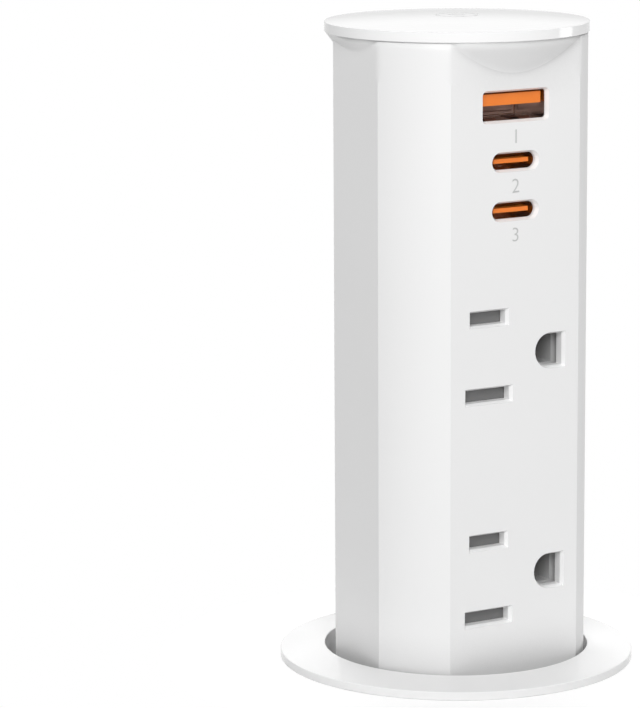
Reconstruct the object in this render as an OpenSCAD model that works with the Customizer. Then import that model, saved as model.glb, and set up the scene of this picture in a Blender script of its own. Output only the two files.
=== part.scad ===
// Pop-up desk socket: a spring-raised column with two grounded outlets and three charging ports,
// sliding in a threaded barrel that a nut clamps in a round hole through a desktop.
// Millimetres, Z up. The origin is on the barrel's axis in the plane of the desktop's upper face,
// and the front of the column, with its sockets, looks along -Y.

/* [Desk flange and barrel] */
// Diameter of the flange where it meets the desk
flange_d = 59.2; // [58:0.2:63]
// Height of the flange at the edge of its hole
flange_h = 2.15; // [2:0.05:2.8]
// Height of the flange at its outer edge
flange_edge_h = 1.4; // [1:0.05:1.5]
// Diameter of the hole that the cap closes
hole_d = 44.2; // [44:0.1:44.6]
// Wall of the barrel under its thread
barrel_wall = 2; // [1.9:0.05:2.3]
// Height of the thread's crests over the barrel
thread_h = 0.5; // [0.4:0.05:0.6]
// Length of the plain neck under the flange
neck_len = 6; // [4:0.5:8]
// Length of the barrel below the neck that carries the thread
thread_len = 60; // [50:1:70]
// Thickness of the desktop that the nut is set for
desk_t = 25; // [12:1:38]

/* [Column] */
// Height of the cap's edge over the flange when the column is up
rise = 104.8; // [103:0.2:112]
// Travel past flush that works the latch
push_travel = 3.2; // [2.6:0.1:3.4]
// Distance from the axis to the flat front face
col_front = 17.55; // [17.2:0.05:17.7]
// Distance from the axis to each flat side
col_side = 20.05; // [19.8:0.05:20.3]
// Distance behind the axis where the flat sides end
side_end = 6; // [5.6:0.1:6.6]
// Distance from the axis to the flat back
col_back = 15.9; // [15.7:0.05:16]
// Width of the flat back
back_w = 24.8; // [23:0.2:26]
// Wall of the column's two shells
shell_wall = 2.2; // [2:0.05:2.3]
// Length of the column that stays inside the barrel, above its foot
stub_len = 22; // [21:0.5:26]

/* [Cap] */
// Gap between the cap and its hole
cap_gap = 0.35; // [0.3:0.05:0.5]
// Height of the cap's rim
cap_rim_h = 1.65; // [1.5:0.05:2]
// Rise of the domed top over the rim
cap_dome = 0.9; // [0.6:0.05:1.2]
// Fall of the flare under the cap for each millimetre it leans in
flare_slope = 1.33; // [1.2:0.01:1.45]

/* [Outlets] */
// Depth of the upper outlet's centre under the lowest charging port's centre
outlet_drop = 23.55; // [23:0.05:24.6]
// Distance between the two outlets' centres
outlet_pitch = 36.95; // [36:0.05:38]
// Distance of the blade slots' centres from the axis, to the left
slot_off = 4.95; // [4.8:0.05:5.1]
// Distance of the ground hole's centre from the axis, to the right
ground_off = 6.95; // [6.7:0.05:7.1]
// Length of the short slot
short_slot = 6.95; // [6.7:0.05:7.2]
// Length of the long slot
long_slot = 8.6; // [8.4:0.05:8.8]
// Width of both slots
slot_w = 2.2; // [2:0.05:2.4]
// Half width of the ground hole
ground_r = 2.65; // [2.6:0.01:2.75]
// Width of the bevel around the openings
bevel = 0.35; // [0.25:0.05:0.5]
// Depth of that bevel
bevel_deep = 0.75; // [0.6:0.05:0.9]

/* [Charging ports] */
// Depth of the wide port's centre under the cap's edge
port_a_drop = 12.4; // [12:0.1:13]
// Depth of the upper small port's centre under the cap's edge
port_b_drop = 21.4; // [21:0.05:21.8]
// Depth of the lower small port's centre under the cap's edge
port_c_drop = 29.4; // [29:0.05:29.6]

/* [Lift] */
// Number of curls in the lift spring
spring_turns = 9; // [7:0.5:10]
// Wire of the lift spring
spring_wire = 1.1; // [0.9:0.05:1.2]
// Radius of the lift spring's coil
spring_r = 15.6; // [15.3:0.05:15.7]
// Module of the damper's gear and rack
gear_m = 0.8; // [0.79:0.005:0.81]

/* [Hidden] */
$fn = 96;
e = 0.01;
hole_r = hole_d / 2;
cap_r = hole_r - cap_gap;
col_r = cap_r - 0.25;
root_r = hole_r + barrel_wall;
neck_r = root_r + thread_h;
flange_r = flange_d / 2;
front_y = -col_front;
wall_y = front_y + shell_wall;
back_y = col_back - shell_wall;

// Levels along the axis
z_edge = flange_h + rise;
z_rim = z_edge - cap_rim_h;
travel = rise + push_travel;
z_shell = -stub_len;
plate_t = 3;
z_plate = z_shell - plate_t;
skirt_h = 11;
z_foot = z_plate - skirt_h;
z_floor = z_foot - travel - 1.5;
plug_h = 5;
z_end = z_floor - plug_h;
lip_h = 1.5;
lug_hw = 4;
lug_low = 1.2;
lug_h = 2.6;
lug_fit = 0.2;

// Flange ring, its spigot in the barrel and its gasket
spigot_h = 3;
spigot_t = 1;
spigot_fit = 0.05;
gasket_t = 0.8;
gasket_fit = 0.1;
gasket_land = 0.4;
gasket_w = 1.2;
gasket_r = neck_r + gasket_land;
flange_soft = 0.1;

// Edges of the cap, and the flare under it
cap_soft = 0.06;
cap_plug_h = 3.5;
cap_plug_t = 1.6;
cap_plug_fit = 0.1;
flare_r = cap_r - 0.1;
flare_foot_r = 14;
flare_h = (flare_r - flare_foot_r) * flare_slope;

// Foot and its guides in the barrel
foot_r = hole_r - 0.3;
ear_w = 7.6;
ear_r = hole_r + 0.7;
groove_r = hole_r + 1;
groove_w = ear_w + 0.4;
ear_top = z_shell;
collar_h = 5;
collar_t = 1.55;
collar_fit = 0.15;
collar_gap = [-9, 10];
collar_gap_y = 5;
boss_r = 2.5;
boss_h = 10;
pilot_r = 1.1;
foot_head_r = 2;
foot_head_h = 1.4;
foot_screw_r = 1.05;
foot_screw_len = 9;
front_boss = [14.2, -9.2];
rear_boss = [13, 9];
screw_spots = [for (p = [front_boss, rear_boss], s = [-1, 1]) [s * p[0], p[1]]];

// Rack and pinion of the rise damper
teeth = 10;
pitch_r = gear_m * teeth / 2;
pinion_y = col_back - 2.3;
pinion_z = z_shell + 7;
backlash = 0.26;
damper_x0 = 3;
damper_x1 = 9.05;
shaft_in = 2.5;
bracket_t = 1.3;
bracket_y0 = 3.2;
bracket_y1 = 13.2;
bracket_up = 4.4;
ear_screw_y = 5.4;
ear_screw_z = 3;
rack_line = pinion_y + pitch_r + 0.08;
rack_tip = rack_line - 0.75 * gear_m;
rack_root = rack_line + 1.3 * gear_m;
rack_back = hole_r + 1;
rack_w = 5.8;
rack_over = 4.6;
rack_top = pinion_z + rack_over;
rack_pitch = PI * gear_m;

// Places of the ports and outlets, from the cap down
port_a_z = z_edge - port_a_drop;
port_zs = [z_edge - port_b_drop, z_edge - port_c_drop];
outlets = [port_zs[1] - outlet_drop - outlet_pitch, port_zs[1] - outlet_drop];

// Layers behind the front wall
shutter_y = wall_y + 0.1;
shutter_t = 1.35;
carrier_y = shutter_y + shutter_t + 0.15;
carrier_deep = 17.7;
carrier_back = carrier_y + carrier_deep;
carrier_hw = 11.6;
slot_gap = 12.7;
shutter_lift = 3;
shutter_hw = 5.3;
shutter_cut = long_slot / 2 + 0.3;
cut_hh = slot_w / 2 + 0.1;
spring_room = 5.4;
shutter_up = 8.6;
shutter_down = 12.4;
stop_t = 1;
damper_room = 13;
carrier_low = z_shell + damper_room;
carrier_top = outlets[1] + shutter_up + spring_room + stop_t;
bus_t = 0.8;
bus_off = 3.1;
bus_hw = 1.5;
leaf_off = 1;
leaf_hw = 2.2;
leaf_gap = 0.55;
blade_pad = 1.7;
pin_leaf_hw = 2;
pin_gap = 2.2;
pin_pad = 3.2;
passage_hw = long_slot / 2 + 0.6;
passage_hh = slot_w / 2 + 1.1;
pin_room = 3.4;
terminal_up = 4;
terminal_z = carrier_low + terminal_up;
blade_deep = 2;
pin_deep = 6.5;
bus_xs = [-slot_off - bus_off, -slot_off + bus_off, ground_off];

// Charging board
board_deep = 13.2;
board_y = wall_y + board_deep;
board_t = 1.6;
board_over = 5.8;
board_under = 6.35;
board_low = port_zs[1] - board_under;
board_top = port_a_z + board_over;
board_hw = 12;
post_x = 9.6;
post_in = 2.6;
post_zs = [board_low + post_in, board_top - post_in];
a_w = 12.15;
a_h = 4.6;
a_corner = 0.5;
c_w = 8.4;
c_h = 2.6;
a_shell = [13.1, 5.8];
a_sheet = 0.35;
c_shell = [9, 3.3];
c_sheet = 0.3;
pocket_fit = 0.2;
base_fit = 0.05;
board_head_r = 1.8;
board_head_h = 1.2;
board_screw_len = 7;

// Cord inlet, latch and clamp
gland_r = 6;
cord_r = 4.1;
cord_exit_r = 6.5;
latch_y = -9.8;
latch_hw = 5.5;
latch_wall = 1.1;
jaw_t = 2.8;
jaw_x = 4.3;
jaw_z = z_floor + 2.9;
jaw_open = 22;
shoulder_z = z_plate - 8;
hook_z = shoulder_z - rise + 0.1;
nut_bore = neck_r + 0.15;
washer_t = 1.5;
nut_h = 11;
nut_z = -desk_t - washer_t;
nut_wall = 3.6;
nut_rim = 5.6;
nut_rim_r = nut_bore + nut_rim;
washer_r = nut_rim_r - 0.4;

// A flat shape drawn in X and Z, filled from y0 to y1
module slab_xz(y0, y1) {
    translate([0, y1, 0]) rotate([90, 0, 0]) linear_extrude(y1 - y0) children();
}

// A flat shape drawn in Y and Z, filled from x0 to x1
module slab_yz(x0, x1) {
    translate([x0, 0, 0]) rotate([90, 0, 90]) linear_extrude(x1 - x0) children();
}

// A box given by its two corners
module block(a, b) {
    translate(a) cube(b - a);
}

// A cylinder along Y
module rod_y(x, z, r, y0, y1) {
    translate([x, y0, z]) rotate([-90, 0, 0]) cylinder(r = r, h = y1 - y0);
}

// A cylinder along X
module rod_x(y, z, r, x0, x1) {
    translate([x0, y, z]) rotate([0, 90, 0]) cylinder(r = r, h = x1 - x0);
}

// A ring on the axis
module ring(r0, r1, z0, z1) {
    difference() {
        translate([0, 0, z0]) cylinder(r = r1, h = z1 - z0);
        translate([0, 0, z0 - 1]) cylinder(r = r0, h = z1 - z0 + 2);
    }
}

// The column's section: a round bar with a flat front, two flat sides, two flat rear corners and a flat back
function rear_run() = [col_side - back_w / 2, col_back - side_end];
function rear_shift(d) = d * (norm(rear_run()) - rear_run()[1]) / rear_run()[0];
function back_shift(d) = d * (norm(rear_run()) - rear_run()[0]) / rear_run()[1];

module column_section(z0, z1, d) {
    x = col_side - d;
    y = side_end - rear_shift(d);
    b = back_w / 2 - back_shift(d);
    intersection() {
        translate([0, 0, z0]) cylinder(r = col_r - d, h = z1 - z0);
        translate([0, 0, z0]) linear_extrude(z1 - z0)
            polygon([[-x, front_y + d], [x, front_y + d], [x, y],
                     [b, col_back - d], [-b, col_back - d], [-x, y]]);
    }
}

// The outside of both shells, with the flare that carries the cap
module column_outside() {
    column_section(z_shell, z_rim, 0);
    translate([0, 0, z_rim - flare_h]) cylinder(r1 = flare_foot_r, r2 = flare_r, h = flare_h);
}

// A bevelled rectangular opening in the front wall
module rect_window(x, z, w, h) {
    o = 0.3;
    a = bevel * (1 + o / bevel_deep);
    translate([x, 0, z]) {
        slab_xz(front_y - o, wall_y + o) square([w, h], center = true);
        intersection() {
            slab_yz(-w / 2 - a, w / 2 + a)
                polygon([[front_y - o, -h / 2 - a], [front_y + bevel_deep, -h / 2],
                         [front_y + bevel_deep, h / 2], [front_y - o, h / 2 + a]]);
            translate([0, 0, -h / 2 - a]) linear_extrude(h + 2 * a)
                polygon([[-w / 2 - a, front_y - o], [w / 2 + a, front_y - o],
                         [w / 2, front_y + bevel_deep], [-w / 2, front_y + bevel_deep]]);
        }
    }
}

// A rectangle with round corners
module round_rect(w, h, r) {
    square([w - 2 * r, h], center = true);
    square([w, h - 2 * r], center = true);
    for (s = [-1, 1], t = [-1, 1]) translate([s * (w / 2 - r), t * (h / 2 - r)]) circle(r);
}

// A bevelled rectangular opening with round corners in the front wall
module round_window(x, z, w, h, r) {
    o = 0.3;
    a = bevel * (1 + o / bevel_deep);
    cx = w / 2 - r;
    cz = h / 2 - r;
    translate([x, 0, z]) {
        slab_xz(front_y - o, wall_y + o) round_rect(w, h, r);
        for (s = [-1, 1], t = [-1, 1])
            translate([s * cx, front_y - o, t * cz]) rotate([-90, 0, 0])
                cylinder(r1 = r + a, r2 = r, h = bevel_deep + o);
        slab_yz(-cx, cx)
            polygon([[front_y - o, -h / 2 - a], [front_y + bevel_deep, -h / 2],
                     [front_y + bevel_deep, h / 2], [front_y - o, h / 2 + a]]);
        translate([0, 0, -cz]) linear_extrude(2 * cz)
            polygon([[-w / 2 - a, front_y - o], [w / 2 + a, front_y - o],
                     [w / 2, front_y + bevel_deep], [-w / 2, front_y + bevel_deep]]);
    }
}

// A long round-ended shape along X
module pill(w, h) {
    square([w - h, h], center = true);
    for (s = [-1, 1]) translate([s * (w - h) / 2, 0]) circle(d = h);
}

// A bevelled round-ended opening in the front wall
module pill_window(x, z, w, h) {
    o = 0.3;
    a = bevel * (1 + o / bevel_deep);
    c = (w - h) / 2;
    translate([x, 0, z]) {
        slab_xz(front_y - o, wall_y + o) pill(w, h);
        for (s = [-1, 1])
            translate([s * c, front_y - o, 0]) rotate([-90, 0, 0])
                cylinder(r1 = h / 2 + a, r2 = h / 2, h = bevel_deep + o);
        slab_yz(-c, c)
            polygon([[front_y - o, -h / 2 - a], [front_y + bevel_deep, -h / 2],
                     [front_y + bevel_deep, h / 2], [front_y - o, h / 2 + a]]);
    }
}

// The ground hole's outline: round on the side of the slots, flat on the far side
module ground_outline(r) {
    circle(r);
    translate([0, -r]) square([r, 2 * r]);
}

// A bevelled ground hole in the front wall
module ground_window(x, z) {
    o = 0.3;
    a = bevel * (1 + o / bevel_deep);
    r = ground_r;
    translate([x, 0, z]) {
        slab_xz(front_y - o, wall_y + o) ground_outline(r);
        translate([0, front_y - o, 0]) rotate([-90, 0, 0]) cylinder(r1 = r + a, r2 = r, h = bevel_deep + o);
        intersection() {
            slab_yz(0, r + a)
                polygon([[front_y - o, -r - a], [front_y + bevel_deep, -r],
                         [front_y + bevel_deep, r], [front_y - o, r + a]]);
            translate([0, 0, -r - a]) linear_extrude(2 * (r + a))
                polygon([[0, front_y - o], [r + a, front_y - o],
                         [r, front_y + bevel_deep], [0, front_y + bevel_deep]]);
        }
    }
}

// A coil spring as one unbroken wire, with a closed curl at each end
function coil_z(t, n, h, wire, p) =
    let (m = (h - wire - 2 * p) / (n - 2))
    wire / 2 + (t < 1 ? p * t : t < n - 1 ? p + (t - 1) * m : p + (n - 2) * m + (t - n + 1) * p);

function coil_ring(t, n, r, h, wire, p) =
    let (a = 360 * t, z = coil_z(t, n, h, wire, p))
    [for (k = [0:5]) let (b = 60 * k) [(r + wire / 2 * cos(b)) * cos(a), (r + wire / 2 * cos(b)) * sin(a),
                                      z + wire / 2 * sin(b)]];

module coil(n, r, h, wire, p) {
    steps = round(n * 8);
    points = [for (i = [0:steps]) each coil_ring(i * n / steps, n, r, h, wire, p)];
    sides = [for (i = [0:steps - 1], k = [0:5])
             each let (a = 6 * i + k, b = 6 * i + (k + 1) % 6) [[a, b + 6, b], [a, a + 6, b + 6]]];
    last = 6 * steps;
    polyhedron(points, concat(sides, [[0, 1, 2, 3, 4, 5]],
                              [[last + 5, last + 4, last + 3, last + 2, last + 1, last]]));
    echo(str("least gap between the curls: ", min(p, (h - wire - 2 * p) / (n - 2)) - wire));
}

// Flange that lies on the desk, with a spigot that enters the barrel and a groove for the gasket
module flange_ring() {
    edge = flange_edge_h;
    soft = flange_soft;
    spigot_r = hole_r + spigot_t;
    color("white") difference() {
        rotate_extrude() polygon(concat(
            [[hole_r, flange_h - soft], [hole_r + soft, flange_h]],
            [[flange_r - soft, edge], [flange_r, edge - soft], [flange_r, soft], [flange_r - soft, 0]],
            [[spigot_r, 0], [spigot_r, -spigot_h], [hole_r, -spigot_h]]));
        ring(gasket_r - gasket_fit, gasket_r + gasket_w + gasket_fit, -1, gasket_t);
    }
}

// Rubber ring let into the underside of the flange
module flange_gasket() {
    color("dimgray") ring(gasket_r, gasket_r + gasket_w, 0, gasket_t);
}

// Barrel that stands in the desk hole, with guide grooves for the foot and a seat for the rack
module barrel() {
    seat_r = hole_r + spigot_t + spigot_fit;
    seat_z = -spigot_h - spigot_fit;
    color("white") difference() {
        rotate_extrude() polygon([[hole_r, seat_z], [seat_r, seat_z], [seat_r, 0], [neck_r, 0],
                                  [neck_r, -neck_len], [root_r, -neck_len - thread_h], [root_r, z_end],
                                  [hole_r, z_end]]);
        ring(root_r - 0.3, root_r + 1, -neck_len - thread_len - 1.5, -neck_len - thread_len);
        for (s = [0, 180]) rotate(s) intersection() {
            translate([0, 0, z_end - 1]) cylinder(r = groove_r, h = ear_top + 0.1 - z_end + 1);
            block([0, -groove_w / 2, z_end - 1], [groove_r + 1, groove_w / 2, ear_top + 0.1]);
        }
        block([-rack_w / 2, 0, z_end - 1], [rack_w / 2, rack_back, rack_top + 0.1]);
        for (a = [45:90:315]) rotate(a)
            block([hole_r - 1, -lug_hw - lug_fit, z_end + lug_low - lug_fit],
                  [root_r + 1, lug_hw + lug_fit, z_end + lug_low + lug_h + lug_fit]);
    }
}

// Plug that closes the barrel's lower end, with the cord's exit and four snap lugs
module bottom_cap() {
    color("whitesmoke") difference() {
        union() {
            translate([0, 0, z_end]) cylinder(r = hole_r - 0.2, h = plug_h);
            translate([0, 0, z_end - lip_h]) cylinder(r = root_r, h = lip_h);
            for (a = [45:90:315]) rotate(a) intersection() {
                block([hole_r - 2, -lug_hw, z_end + lug_low], [root_r, lug_hw, z_end + lug_low + lug_h]);
                translate([0, 0, z_end]) cylinder(r = root_r - 0.4, h = plug_h);
            }
        }
        translate([0, 0, z_end - lip_h - 1]) cylinder(r = cord_exit_r, h = plug_h + lip_h + 2);
        translate([0, 0, z_end - lip_h - 1]) ring(cord_exit_r + 2, hole_r - 3, 0, plug_h + lip_h - 1.5);
    }
}

// Toothed strip that stands in the barrel's rear groove
module rack() {
    n = floor((rack_top - z_floor) / rack_pitch) - 1;
    half_tip = rack_pitch / 4 - backlash / 2 - 0.75 * gear_m * tan(20);
    half_root = rack_pitch / 4 - backlash / 2 + 1.3 * gear_m * tan(20);
    function tooth(z) = [[rack_root, z + half_root], [rack_tip, z + half_tip],
                         [rack_tip, z - half_tip], [rack_root, z - half_root]];
    color("dimgray") slab_yz(-rack_w / 2 + 0.1, rack_w / 2 - 0.1)
        polygon(concat([[rack_back, rack_top], [rack_root, rack_top]],
                       [for (i = [0:n], p = tooth(pinion_z + (1 - i) * rack_pitch))
                        if (p[1] > z_floor + 0.5) p],
                       [[rack_root, z_floor], [rack_back, z_floor]]));
}

// Long spring that lifts the column, standing on the bottom plug
module lift_spring() {
    color("silver") translate([0, 0, z_floor])
        coil(spring_turns, spring_r, z_plate - z_floor, spring_wire, spring_wire + 0.45);
}

// Bracket of the touch latch, with the two pivot holes
module latch_case() {
    w = latch_hw;
    y0 = latch_y - jaw_t / 2 - 0.15;
    y1 = latch_y + jaw_t / 2 + 0.15;
    t = latch_wall;
    color("dimgray") difference() {
        union() {
            block([-w, y0 - t, z_floor], [w, y1 + t, z_floor + 1.2]);
            for (y = [y0 - t, y1]) block([-w, y, z_floor], [w, y + t, jaw_z + 1.8]);
        }
        for (s = [-1, 1]) rod_y(s * jaw_x, jaw_z, 0.82, y0 - 3, y1 + 3);
    }
}

// The two pivot pins of the jaws
module latch_pins() {
    y = jaw_t / 2 + 0.15 + latch_wall;
    color("silver") for (s = [-1, 1]) rod_y(s * jaw_x, jaw_z, 0.8, latch_y - y, latch_y + y);
}

// One jaw, turned open about its pivot; s is -1 for the left one
module jaw(s) {
    arm = hook_z - jaw_z;
    color("darkorange") translate([s * jaw_x, 0, jaw_z]) rotate([0, s * jaw_open, 0])
        translate([-s * jaw_x, 0, -jaw_z]) difference() {
            union() {
                rod_y(s * jaw_x, jaw_z, 1.5, latch_y - jaw_t / 2, latch_y + jaw_t / 2);
                slab_xz(latch_y - jaw_t / 2, latch_y + jaw_t / 2)
                    polygon([for (p = [[jaw_x - 0.9, 0], [jaw_x - 0.9, arm], [1.25, arm], [1.25, arm + 0.6],
                                       [jaw_x - 1.2, arm + 1.9], [jaw_x + 0.5, arm + 1.9], [jaw_x + 0.9, 0]])
                             [s * p[0], jaw_z + p[1]]]);
            }
            rod_y(s * jaw_x, jaw_z, 0.85, latch_y - jaw_t, latch_y + jaw_t);
        }
}

module latch_jaw_left() jaw(-1);
module latch_jaw_right() jaw(1);

// Loose washer between the nut and the underside of the desktop
module clamp_washer() {
    color("gainsboro") ring(nut_bore + 0.1, washer_r, nut_z, -desk_t);
}

// Ribbed nut that clamps the barrel in the desktop
module lock_nut() {
    r = nut_bore + nut_wall;
    color("gainsboro") difference() {
        union() {
            translate([0, 0, nut_z - nut_h]) cylinder(r = r, h = nut_h);
            translate([0, 0, nut_z - 2]) cylinder(r = nut_rim_r, h = 2);
            for (a = [0:22.5:337.5]) rotate(a) translate([r, 0, nut_z - nut_h])
                cylinder(r = 1.2, h = nut_h - 1);
        }
        translate([0, 0, nut_z - nut_h - 1]) cylinder(r = nut_bore, h = nut_h + 2);
    }
}

// Domed cap with a spigot that enters the two shells
module top_cap() {
    dome_r = (cap_r * cap_r + cap_dome * cap_dome) / (2 * cap_dome);
    top_r = cap_r - cap_soft;
    function dome(r) = z_edge + cap_dome - dome_r + sqrt(dome_r * dome_r - r * r);
    color("white") {
        rotate_extrude() polygon(concat(
            [[0, z_rim], [cap_r - cap_soft, z_rim], [cap_r, z_rim + cap_soft], [cap_r, z_edge - cap_soft]],
            [for (i = [12:-1:0]) [top_r * i / 12, dome(top_r * i / 12)]]));
        difference() {
            column_section(z_rim - cap_plug_h, z_rim + 0.2, shell_wall + cap_plug_fit);
            column_section(z_rim - cap_plug_h - 1, z_rim, shell_wall + cap_plug_fit + cap_plug_t);
        }
    }
}

// Front moulding of the column: sockets, flat sides, shutter rails and posts for the charging board
module front_shell() {
    color("whitesmoke") difference() {
        union() {
            difference() {
                column_outside();
                column_section(z_shell - 1, z_rim + 1, shell_wall);
                block([-flange_r, side_end, z_shell - 1], [flange_r, flange_r, z_rim + 1]);
            }
            for (z = outlets) shutter_rails(z);
            for (s = [-1, 1], z = post_zs) rod_y(s * post_x, z, 1.9, wall_y - 0.5, board_y);
            for (s = [-1, 1]) shell_boss(s * front_boss[0], front_boss[1]);
        }
        for (z = outlets) {
            rect_window(-slot_off, z + slot_gap / 2, short_slot, slot_w);
            rect_window(-slot_off, z - slot_gap / 2, long_slot, slot_w);
            ground_window(ground_off, z);
        }
        round_window(0, port_a_z, a_w, a_h, a_corner);
        translate([0, 0, port_a_z]) slab_xz(front_y + 1, wall_y + 1)
            square([for (v = a_shell) v + 2 * pocket_fit], center = true);
        for (z = port_zs) {
            pill_window(0, z, c_w, c_h);
            translate([0, 0, z]) slab_xz(front_y + 1.3, wall_y + 1)
                pill(c_shell[0] + 2 * pocket_fit, c_shell[1] + 2 * pocket_fit);
        }
        for (s = [-1, 1], z = post_zs) rod_y(s * post_x, z, 0.95, board_y - 8, board_y + 1);
        for (s = [-1, 1]) translate([s * front_boss[0], front_boss[1], z_shell - 1])
            cylinder(r = pilot_r, h = boss_h - 1);
    }
}

// Rails and spring stop of one shutter, on the inside of the front wall
module shutter_rails(z) {
    x0 = -slot_off - shutter_hw;
    x1 = -slot_off + shutter_hw;
    top = z + shutter_up + spring_room;
    block([x0 - 1.1, wall_y - 0.5, z - shutter_down], [x0 - 0.15, carrier_y, top + stop_t]);
    block([x1 + 0.15, wall_y - 0.5, z - shutter_down], [x1 + 1.1, carrier_y, top + stop_t]);
    block([x0 - 0.2, wall_y - 0.5, top], [x1 + 0.2, carrier_y, top + stop_t]);
}

// Screw boss at the lower end of a shell
module shell_boss(x, y) {
    translate([x, y, z_shell]) cylinder(r = boss_r, h = boss_h);
}

// Rear moulding of the column, with two ribs that clamp the outlet carrier and a window for the damper
module rear_cover() {
    color("whitesmoke") difference() {
        union() {
            difference() {
                column_outside();
                column_section(z_shell - 1, z_rim + 1, shell_wall);
                block([-flange_r, -flange_r, z_shell - 1], [flange_r, side_end, z_rim + 1]);
            }
            for (s = [-1, 1]) {
                block([s * 10.8 - 0.6, carrier_back, outlets[0] - 6],
                      [s * 10.8 + 0.6, back_y + 0.5, outlets[1] + 8]);
                shell_boss(s * rear_boss[0], rear_boss[1]);
            }
        }
        block([-3.4, back_y - 1, z_shell - 1], [9.5, col_back + 1, pinion_z + 5.6]);
        for (s = [-1, 1]) translate([s * rear_boss[0], rear_boss[1], z_shell - 1])
            cylinder(r = pilot_r, h = boss_h - 1);
    }
}

// Guide foot that closes the column, with ears for the grooves, the spring seat and the damper's bracket
module foot() {
    color("gainsboro") difference() {
        union() {
            translate([0, 0, z_plate]) cylinder(r = foot_r, h = plate_t);
            ring(foot_r - 1.9, foot_r, z_foot, z_plate);
            for (s = [0, 180]) rotate(s) intersection() {
                block([foot_r - 1.9, -ear_w / 2, z_foot], [ear_r + 1, ear_w / 2, ear_top]);
                translate([0, 0, z_foot]) cylinder(r = ear_r, h = ear_top - z_foot);
            }
            difference() {
                column_section(z_shell - 0.5, z_shell + collar_h, shell_wall + collar_fit);
                column_section(z_shell, z_shell + collar_h + 1, shell_wall + collar_fit + collar_t);
                for (p = screw_spots) translate([p[0], p[1], z_shell])
                    cylinder(r = boss_r + 0.4, h = collar_h + 1);
                block([collar_gap[0], collar_gap_y, z_shell],
                      [collar_gap[1], flange_r, z_shell + collar_h + 1]);
            }
            block([damper_x1, bracket_y0, z_shell - 0.5],
                  [damper_x1 + bracket_t, bracket_y1, pinion_z + bracket_up]);
        }
        block([-rack_w / 2 - 0.5, rack_tip - 0.6, z_foot - 1],
              [rack_w / 2 + 0.5, foot_r + 1, z_shell + 1]);
        translate([0, 0, z_plate - 1]) cylinder(r = gland_r + 0.05, h = plate_t + 2);
        for (p = screw_spots) translate([p[0], p[1], z_plate - 1]) {
            cylinder(r = 1.25, h = plate_t + 2);
            cylinder(r = 2.2, h = 2.6);
        }
        for (s = [-1, 1])
            rod_x(ear_screw_y, pinion_z + s * ear_screw_z, 0.95, damper_x1 - 1, damper_x1 + 2);
    }
}

// Four screws that hold the foot to the two shells
module foot_screws() {
    color("silver") for (p = screw_spots) translate([p[0], p[1], z_plate + 0.2]) {
        cylinder(r = foot_head_r, h = foot_head_h);
        cylinder(r = foot_screw_r, h = foot_screw_len);
    }
}

// Arrow-headed striker under the foot that the latch takes hold of
module latch_striker() {
    color("darkorange") slab_xz(latch_y - 1.5, latch_y + 1.5)
        polygon([[-4, z_plate], [-4, z_plate - 1.5], [-1, z_plate - 1.5], [-1, shoulder_z],
                 [-2.2, shoulder_z], [-0.7, shoulder_z - 2.7], [0.7, shoulder_z - 2.7], [2.2, shoulder_z],
                 [1, shoulder_z], [1, z_plate - 1.5], [4, z_plate - 1.5], [4, z_plate]]);
}

// Inlet bushing of the supply cord in the middle of the foot
module cord_gland() {
    color("dimgray") difference() {
        union() {
            translate([0, 0, z_shell]) cylinder(r = gland_r + 1.2, h = 1.5);
            translate([0, 0, z_foot + 1]) cylinder(r = gland_r, h = z_shell - z_foot - 1);
        }
        translate([0, 0, z_foot]) cylinder(r = cord_r, h = z_shell - z_foot + 2);
    }
}

// Rotary damper that slows the rise, held to the foot's bracket by an ear
module damper_body() {
    color("dimgray") difference() {
        union() {
            rod_x(pinion_y, pinion_z, 5.2, damper_x0, damper_x1);
            block([damper_x1 - 1.05, 3.4, pinion_z - 5], [damper_x1, pinion_y, pinion_z + 4.2]);
        }
        rod_x(pinion_y, pinion_z, 1.3, damper_x0 - 1, damper_x0 + shaft_in + 0.5);
        for (s = [-1, 1])
            rod_x(ear_screw_y, pinion_z + s * ear_screw_z, 0.95, damper_x1 - 2, damper_x1 + 1);
    }
}

// Two screws through the damper's ear
module damper_screws() {
    color("silver") for (s = [-1, 1]) {
        z = pinion_z + s * ear_screw_z;
        rod_x(ear_screw_y, z, 1.6, damper_x1 - 2.15, damper_x1 - 1.05);
        rod_x(ear_screw_y, z, 0.9, damper_x1 - 2, damper_x1 + bracket_t);
    }
}

// Angle by which an involute has unrolled at radius r, in degrees
function unrolled(r, base) = let (a = acos(min(1, base / r))) tan(a) * 180 / PI - a;

// Gear on the damper's shaft that rolls on the rack
module damper_pinion() {
    base = pitch_r * cos(20);
    tip = pitch_r + 0.85 * gear_m;
    root = pitch_r - 1.25 * gear_m;
    half = (rack_pitch / 2 - backlash) / 2 / pitch_r * 180 / PI;
    radii = [for (i = [0:5]) base + (tip - base) * i / 5];
    function spread(r) = half + unrolled(pitch_r, base) - unrolled(r, base);
    low = spread(base) * 0.8;
    flank = concat([[root, -low]], [for (r = radii) [r, -spread(r)]],
                   [for (i = [5:-1:0]) [radii[i], spread(radii[i])]], [[root, low]]);
    color("gainsboro") {
        slab_yz(-rack_w / 2 + 0.6, rack_w / 2 - 0.6) translate([pinion_y, pinion_z])
            polygon([for (k = [0:teeth - 1], p = flank) let (a = p[1] + (k + 0.5) * 360 / teeth)
                     p[0] * [cos(a), sin(a)]]);
        rod_x(pinion_y, pinion_z, 1.25, rack_w / 2 - 0.7, damper_x0 + shaft_in);
    }
}

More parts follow.
